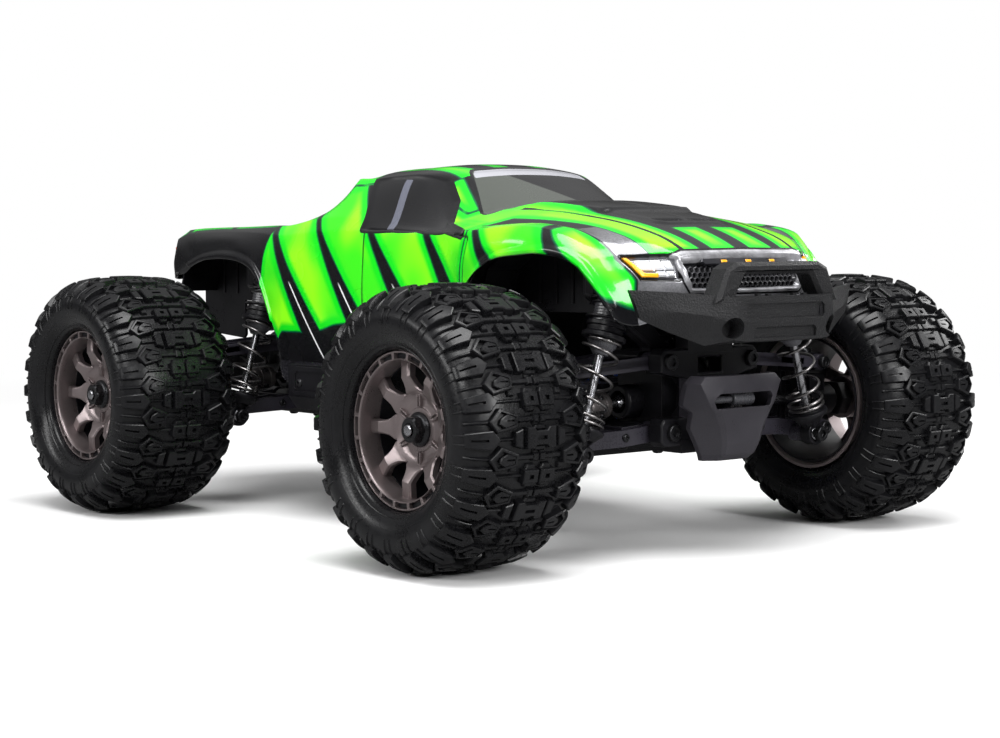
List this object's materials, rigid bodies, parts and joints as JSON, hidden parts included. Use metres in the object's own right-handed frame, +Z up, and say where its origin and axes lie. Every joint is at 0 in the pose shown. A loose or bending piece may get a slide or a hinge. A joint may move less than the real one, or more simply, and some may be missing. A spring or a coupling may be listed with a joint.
{
  "type": "rc monster truck",
  "caption": "Radio-controlled electric monster truck with four-wheel drive, independent coil-sprung suspension, bell-crank steering and a lift-off painted body shell.",
  "frame": {"origin": "on the ground, midway between the axles and on the centre line", "axes": "+X forward towards the front bumper, +Y to the truck's left, +Z up"},
  "size_m": [0.324, 0.244, 0.1356],
  "materials": {
    "body_paint": "painted clear shell, green and black",
    "black_plastic": "fine moulded texture",
    "tyre_rubber": "soft black rubber",
    "rim_bronze": "satin bronze-grey",
    "bright_steel": "polished",
    "black_metal": "black anodised",
    "battery_wrap": "shrink wrap",
    "motor_can": "anodised can",
    "gear_brass": "machined"
  },
  "bodies": {
    "chassis": {"chassis_tub": "black_plastic", "front_bulkhead": "black_plastic", "rear_bulkhead": "black_plastic", "front_bumper": "black_plastic", "rear_bumper": "black_plastic", "front_skid_plate": "black_plastic", "battery_pack": "battery_wrap", "drive_motor": "motor_can", "steering_servo": "black_plastic"},
    "body_shell": {"body_shell": "body_paint"},
    "battery_strap": {"battery_strap": "black_plastic"},
    "drive_line": {"center_driveshaft": "bright_steel"},
    "motor_pinion": {"pinion_gear": "gear_brass"},
    "front_left_lower_arm": {"front_left_lower_arm": "black_plastic"},
    "front_left_upper_arm": {"front_left_upper_arm": "black_plastic"},
    "front_left_caster_block": {"front_left_caster_block": "black_plastic"},
    "front_left_knuckle": {"front_left_knuckle": "black_plastic"},
    "front_left_wheel": {"front_left_stub_axle": "black_metal", "front_left_rim": "rim_bronze", "front_left_tyre": "tyre_rubber"},
    "front_left_halfshaft": {"front_left_halfshaft": "bright_steel"},
    "front_left_shock_body": {"front_left_shock_body": "black_metal", "front_left_spring": "bright_steel"},
    "front_left_shock_shaft": {"front_left_shock_shaft": "bright_steel"},
    "front_right_lower_arm": {"front_right_lower_arm": "black_plastic"},
    "front_right_upper_arm": {"front_right_upper_arm": "black_plastic"},
    "front_right_caster_block": {"front_right_caster_block": "black_plastic"},
    "front_right_knuckle": {"front_right_knuckle": "black_plastic"},
    "front_right_wheel": {"front_right_stub_axle": "black_metal", "front_right_rim": "rim_bronze", "front_right_tyre": "tyre_rubber"},
    "front_right_halfshaft": {"front_right_halfshaft": "bright_steel"},
    "front_right_shock_body": {"front_right_shock_body": "black_metal", "front_right_spring": "bright_steel"},
    "front_right_shock_shaft": {"front_right_shock_shaft": "bright_steel"},
    "rear_left_lower_arm": {"rear_left_lower_arm": "black_plastic"},
    "rear_left_upper_arm": {"rear_left_upper_arm": "black_plastic"},
    "rear_left_hub_carrier": {"rear_left_hub_carrier": "black_plastic"},
    "rear_left_wheel": {"rear_left_stub_axle": "black_metal", "rear_left_rim": "rim_bronze", "rear_left_tyre": "tyre_rubber"},
    "rear_left_halfshaft": {"rear_left_halfshaft": "bright_steel"},
    "rear_left_shock_body": {"rear_left_shock_body": "black_metal", "rear_left_spring": "bright_steel"},
    "rear_left_shock_shaft": {"rear_left_shock_shaft": "bright_steel"},
    "rear_right_lower_arm": {"rear_right_lower_arm": "black_plastic"},
    "rear_right_upper_arm": {"rear_right_upper_arm": "black_plastic"},
    "rear_right_hub_carrier": {"rear_right_hub_carrier": "black_plastic"},
    "rear_right_wheel": {"rear_right_stub_axle": "black_metal", "rear_right_rim": "rim_bronze", "rear_right_tyre": "tyre_rubber"},
    "rear_right_halfshaft": {"rear_right_halfshaft": "bright_steel"},
    "rear_right_shock_body": {"rear_right_shock_body": "black_metal", "rear_right_spring": "bright_steel"},
    "rear_right_shock_shaft": {"rear_right_shock_shaft": "bright_steel"},
    "bellcrank_left": {"bellcrank_left": "black_plastic"},
    "bellcrank_right": {"bellcrank_right": "black_plastic"},
    "center_link": {"center_link": "black_plastic"},
    "front_left_tie_rod": {"front_left_tie_rod": "black_metal"},
    "front_right_tie_rod": {"front_right_tie_rod": "black_metal"}
  },
  "joints": [
    {"name": "body_shell_lift", "type": "slide", "parent": "chassis", "child": "body_shell", "axis": [0, 0, 1], "range_m": [0, 0.13]},
    {"name": "battery_strap_hinge", "type": "hinge", "parent": "chassis", "child": "battery_strap", "pos_m": [0, 0.037, 0.05], "axis": [-1, 0, 0], "range_deg": [0, 90]},
    {"name": "drive_line_spin", "type": "hinge", "parent": "chassis", "child": "drive_line", "pos_m": [-0.0705, 0, 0.05], "axis": [1, 0, 0], "continuous": true},
    {"name": "motor_pinion_spin", "type": "hinge", "parent": "chassis", "child": "motor_pinion", "pos_m": [-0.0705, -0.01815, 0.05], "axis": [1, 0, 0], "continuous": true},
    {"name": "front_left_suspension", "type": "hinge", "parent": "chassis", "child": "front_left_lower_arm", "pos_m": [0.104, 0.018, 0.0415], "axis": [1, 0, 0], "range_deg": [-15, 12], "stiffness_Nm_per_rad": 0.83, "springref_deg": -17.99},
    {"name": "front_left_upper_arm_pivot", "type": "hinge", "parent": "chassis", "child": "front_left_upper_arm", "pos_m": [0.104, 0.0195, 0.0655], "axis": [1, 0, 0], "range_deg": [-15.1, 12.1]},
    {"name": "front_left_caster_pivot", "type": "hinge", "parent": "front_left_lower_arm", "child": "front_left_caster_block", "pos_m": [0.104, 0.07, 0.0373], "axis": [1, 0, 0], "range_deg": [-12.1, 15.1]},
    {"name": "front_left_steering", "type": "hinge", "parent": "front_left_caster_block", "child": "front_left_knuckle", "pos_m": [0.104, 0.0725, 0.0467], "axis": [0, 0, 1], "range_deg": [-24.1, 24.1]},
    {"name": "front_left_wheel_spin", "type": "hinge", "parent": "front_left_knuckle", "child": "front_left_wheel", "pos_m": [0.104, 0.0965, 0.0467], "axis": [0, 1, 0], "continuous": true},
    {"name": "front_left_halfshaft_joint", "type": "hinge", "parent": "chassis", "child": "front_left_halfshaft", "pos_m": [0.104, 0.0205, 0.0509], "axis": [1, 0, 0], "range_deg": [-15.1, 12.1]},
    {"name": "front_left_shock_pivot", "type": "hinge", "parent": "chassis", "child": "front_left_shock_body", "pos_m": [0.122, 0.038, 0.098], "axis": [1, 0, 0], "range_deg": [-4.2, 4.2]},
    {"name": "front_left_shock_stroke", "type": "slide", "parent": "front_left_shock_body", "child": "front_left_shock_shaft", "axis": [0, -0.2952, 0.9554], "range_m": [-0.0098, 0.0098], "deforming": ["front_left_spring"]},
    {"name": "front_right_suspension", "type": "hinge", "parent": "chassis", "child": "front_right_lower_arm", "pos_m": [0.104, -0.018, 0.0415], "axis": [-1, 0, 0], "range_deg": [-15, 12], "stiffness_Nm_per_rad": 0.83, "springref_deg": -17.99},
    {"name": "front_right_upper_arm_pivot", "type": "hinge", "parent": "chassis", "child": "front_right_upper_arm", "pos_m": [0.104, -0.0195, 0.0655], "axis": [-1, 0, 0], "range_deg": [-15.1, 12.1]},
    {"name": "front_right_caster_pivot", "type": "hinge", "parent": "front_right_lower_arm", "child": "front_right_caster_block", "pos_m": [0.104, -0.07, 0.0373], "axis": [-1, 0, 0], "range_deg": [-12.1, 15.1]},
    {"name": "steering", "type": "hinge", "parent": "front_right_caster_block", "child": "front_right_knuckle", "pos_m": [0.104, -0.0725, 0.0467], "axis": [0, 0, 1], "range_deg": [-24, 24]},
    {"name": "front_right_wheel_spin", "type": "hinge", "parent": "front_right_knuckle", "child": "front_right_wheel", "pos_m": [0.104, -0.0965, 0.0467], "axis": [0, 1, 0], "continuous": true},
    {"name": "front_right_halfshaft_joint", "type": "hinge", "parent": "chassis", "child": "front_right_halfshaft", "pos_m": [0.104, -0.0205, 0.0509], "axis": [-1, 0, 0], "range_deg": [-15.1, 12.1]},
    {"name": "front_right_shock_pivot", "type": "hinge", "parent": "chassis", "child": "front_right_shock_body", "pos_m": [0.122, -0.038, 0.098], "axis": [-1, 0, 0], "range_deg": [-4.2, 4.2]},
    {"name": "front_right_shock_stroke", "type": "slide", "parent": "front_right_shock_body", "child": "front_right_shock_shaft", "axis": [0, 0.2952, 0.9554], "range_m": [-0.0098, 0.0098], "deforming": ["front_right_spring"]},
    {"name": "rear_left_suspension", "type": "hinge", "parent": "chassis", "child": "rear_left_lower_arm", "pos_m": [-0.104, 0.018, 0.0415], "axis": [1, 0, 0], "range_deg": [-15, 12], "stiffness_Nm_per_rad": 0.83, "springref_deg": -17.99},
    {"name": "rear_left_upper_arm_pivot", "type": "hinge", "parent": "chassis", "child": "rear_left_upper_arm", "pos_m": [-0.104, 0.0195, 0.0655], "axis": [1, 0, 0], "range_deg": [-15.1, 12.1]},
    {"name": "rear_left_carrier_pivot", "type": "hinge", "parent": "rear_left_lower_arm", "child": "rear_left_hub_carrier", "pos_m": [-0.104, 0.07, 0.0373], "axis": [1, 0, 0], "range_deg": [-12.1, 15.1]},
    {"name": "rear_left_wheel_spin", "type": "hinge", "parent": "rear_left_hub_carrier", "child": "rear_left_wheel", "pos_m": [-0.104, 0.0965, 0.0467], "axis": [0, 1, 0], "continuous": true},
    {"name": "rear_left_halfshaft_joint", "type": "hinge", "parent": "chassis", "child": "rear_left_halfshaft", "pos_m": [-0.104, 0.0205, 0.0509], "axis": [1, 0, 0], "range_deg": [-15.1, 12.1]},
    {"name": "rear_left_shock_pivot", "type": "hinge", "parent": "chassis", "child": "rear_left_shock_body", "pos_m": [-0.086, 0.038, 0.098], "axis": [1, 0, 0], "range_deg": [-4.2, 4.2]},
    {"name": "rear_left_shock_stroke", "type": "slide", "parent": "rear_left_shock_body", "child": "rear_left_shock_shaft", "axis": [0, -0.2952, 0.9554], "range_m": [-0.0098, 0.0098], "deforming": ["rear_left_spring"]},
    {"name": "rear_right_suspension", "type": "hinge", "parent": "chassis", "child": "rear_right_lower_arm", "pos_m": [-0.104, -0.018, 0.0415], "axis": [-1, 0, 0], "range_deg": [-15, 12], "stiffness_Nm_per_rad": 0.83, "springref_deg": -17.99},
    {"name": "rear_right_upper_arm_pivot", "type": "hinge", "parent": "chassis", "child": "rear_right_upper_arm", "pos_m": [-0.104, -0.0195, 0.0655], "axis": [-1, 0, 0], "range_deg": [-15.1, 12.1]},
    {"name": "rear_right_carrier_pivot", "type": "hinge", "parent": "rear_right_lower_arm", "child": "rear_right_hub_carrier", "pos_m": [-0.104, -0.07, 0.0373], "axis": [-1, 0, 0], "range_deg": [-12.1, 15.1]},
    {"name": "rear_right_wheel_spin", "type": "hinge", "parent": "rear_right_hub_carrier", "child": "rear_right_wheel", "pos_m": [-0.104, -0.0965, 0.0467], "axis": [0, 1, 0], "continuous": true},
    {"name": "rear_right_halfshaft_joint", "type": "hinge", "parent": "chassis", "child": "rear_right_halfshaft", "pos_m": [-0.104, -0.0205, 0.0509], "axis": [-1, 0, 0], "range_deg": [-15.1, 12.1]},
    {"name": "rear_right_shock_pivot", "type": "hinge", "parent": "chassis", "child": "rear_right_shock_body", "pos_m": [-0.086, -0.038, 0.098], "axis": [-1, 0, 0], "range_deg": [-4.2, 4.2]},
    {"name": "rear_right_shock_stroke", "type": "slide", "parent": "rear_right_shock_body", "child": "rear_right_shock_shaft", "axis": [0, 0.2952, 0.9554], "range_m": [-0.0098, 0.0098], "deforming": ["rear_right_spring"]},
    {"name": "bellcrank_left_pivot", "type": "hinge", "parent": "chassis", "child": "bellcrank_left", "pos_m": [0.079, 0.012, 0.051], "axis": [0, 0, 1], "range_deg": [-24.1, 24.1]},
    {"name": "bellcrank_right_pivot", "type": "hinge", "parent": "chassis", "child": "bellcrank_right", "pos_m": [0.079, -0.012, 0.051], "axis": [0, 0, 1], "range_deg": [-24.1, 24.1]},
    {"name": "center_link_pivot", "type": "hinge", "parent": "bellcrank_left", "child": "center_link", "pos_m": [0.063, 0.012, 0.055], "axis": [0, 0, 1], "range_deg": [-24.1, 24.1]},
    {"name": "front_left_tie_rod_pivot", "type": "hinge", "parent": "center_link", "child": "front_left_tie_rod", "pos_m": [0.088, 0.0205, 0.0509], "axis": [1, 0, 0], "range_deg": [-15.1, 12.1]},
    {"name": "front_right_tie_rod_pivot", "type": "hinge", "parent": "center_link", "child": "front_right_tie_rod", "pos_m": [0.088, -0.0205, 0.0509], "axis": [-1, 0, 0], "range_deg": [-15.1, 12.1]}
  ],
  "couplings": [
    {"joint": "motor_pinion_spin", "follows": "drive_line_spin", "ratio": -3.5},
    {"joint": "front_left_upper_arm_pivot", "follows": "front_left_suspension", "ratio": 1},
    {"joint": "front_left_caster_pivot", "follows": "front_left_suspension", "ratio": -1},
    {"joint": "front_left_steering", "follows": "steering", "ratio": 1},
    {"joint": "front_left_halfshaft_joint", "follows": "front_left_suspension", "ratio": 1},
    {"joint": "front_left_shock_pivot", "follows": "front_left_suspension", "ratio": 0.258},
    {"joint": "front_left_shock_stroke", "follows": "front_left_suspension", "m_per_rad": 0.035556},
    {"joint": "front_right_upper_arm_pivot", "follows": "front_right_suspension", "ratio": 1},
    {"joint": "front_right_caster_pivot", "follows": "front_right_suspension", "ratio": -1},
    {"joint": "front_right_halfshaft_joint", "follows": "front_right_suspension", "ratio": 1},
    {"joint": "front_right_shock_pivot", "follows": "front_right_suspension", "ratio": 0.258},
    {"joint": "front_right_shock_stroke", "follows": "front_right_suspension", "m_per_rad": 0.035556},
    {"joint": "rear_left_upper_arm_pivot", "follows": "rear_left_suspension", "ratio": 1},
    {"joint": "rear_left_carrier_pivot", "follows": "rear_left_suspension", "ratio": -1},
    {"joint": "rear_left_halfshaft_joint", "follows": "rear_left_suspension", "ratio": 1},
    {"joint": "rear_left_shock_pivot", "follows": "rear_left_suspension", "ratio": 0.258},
    {"joint": "rear_left_shock_stroke", "follows": "rear_left_suspension", "m_per_rad": 0.035556},
    {"joint": "rear_right_upper_arm_pivot", "follows": "rear_right_suspension", "ratio": 1},
    {"joint": "rear_right_carrier_pivot", "follows": "rear_right_suspension", "ratio": -1},
    {"joint": "rear_right_halfshaft_joint", "follows": "rear_right_suspension", "ratio": 1},
    {"joint": "rear_right_shock_pivot", "follows": "rear_right_suspension", "ratio": 0.258},
    {"joint": "rear_right_shock_stroke", "follows": "rear_right_suspension", "m_per_rad": 0.035556},
    {"joint": "bellcrank_left_pivot", "follows": "steering", "ratio": 1},
    {"joint": "bellcrank_right_pivot", "follows": "steering", "ratio": 1},
    {"joint": "center_link_pivot", "follows": "steering", "ratio": -1},
    {"joint": "front_left_tie_rod_pivot", "follows": "front_left_suspension", "ratio": 1},
    {"joint": "front_right_tie_rod_pivot", "follows": "front_right_suspension", "ratio": 1}
  ]
}
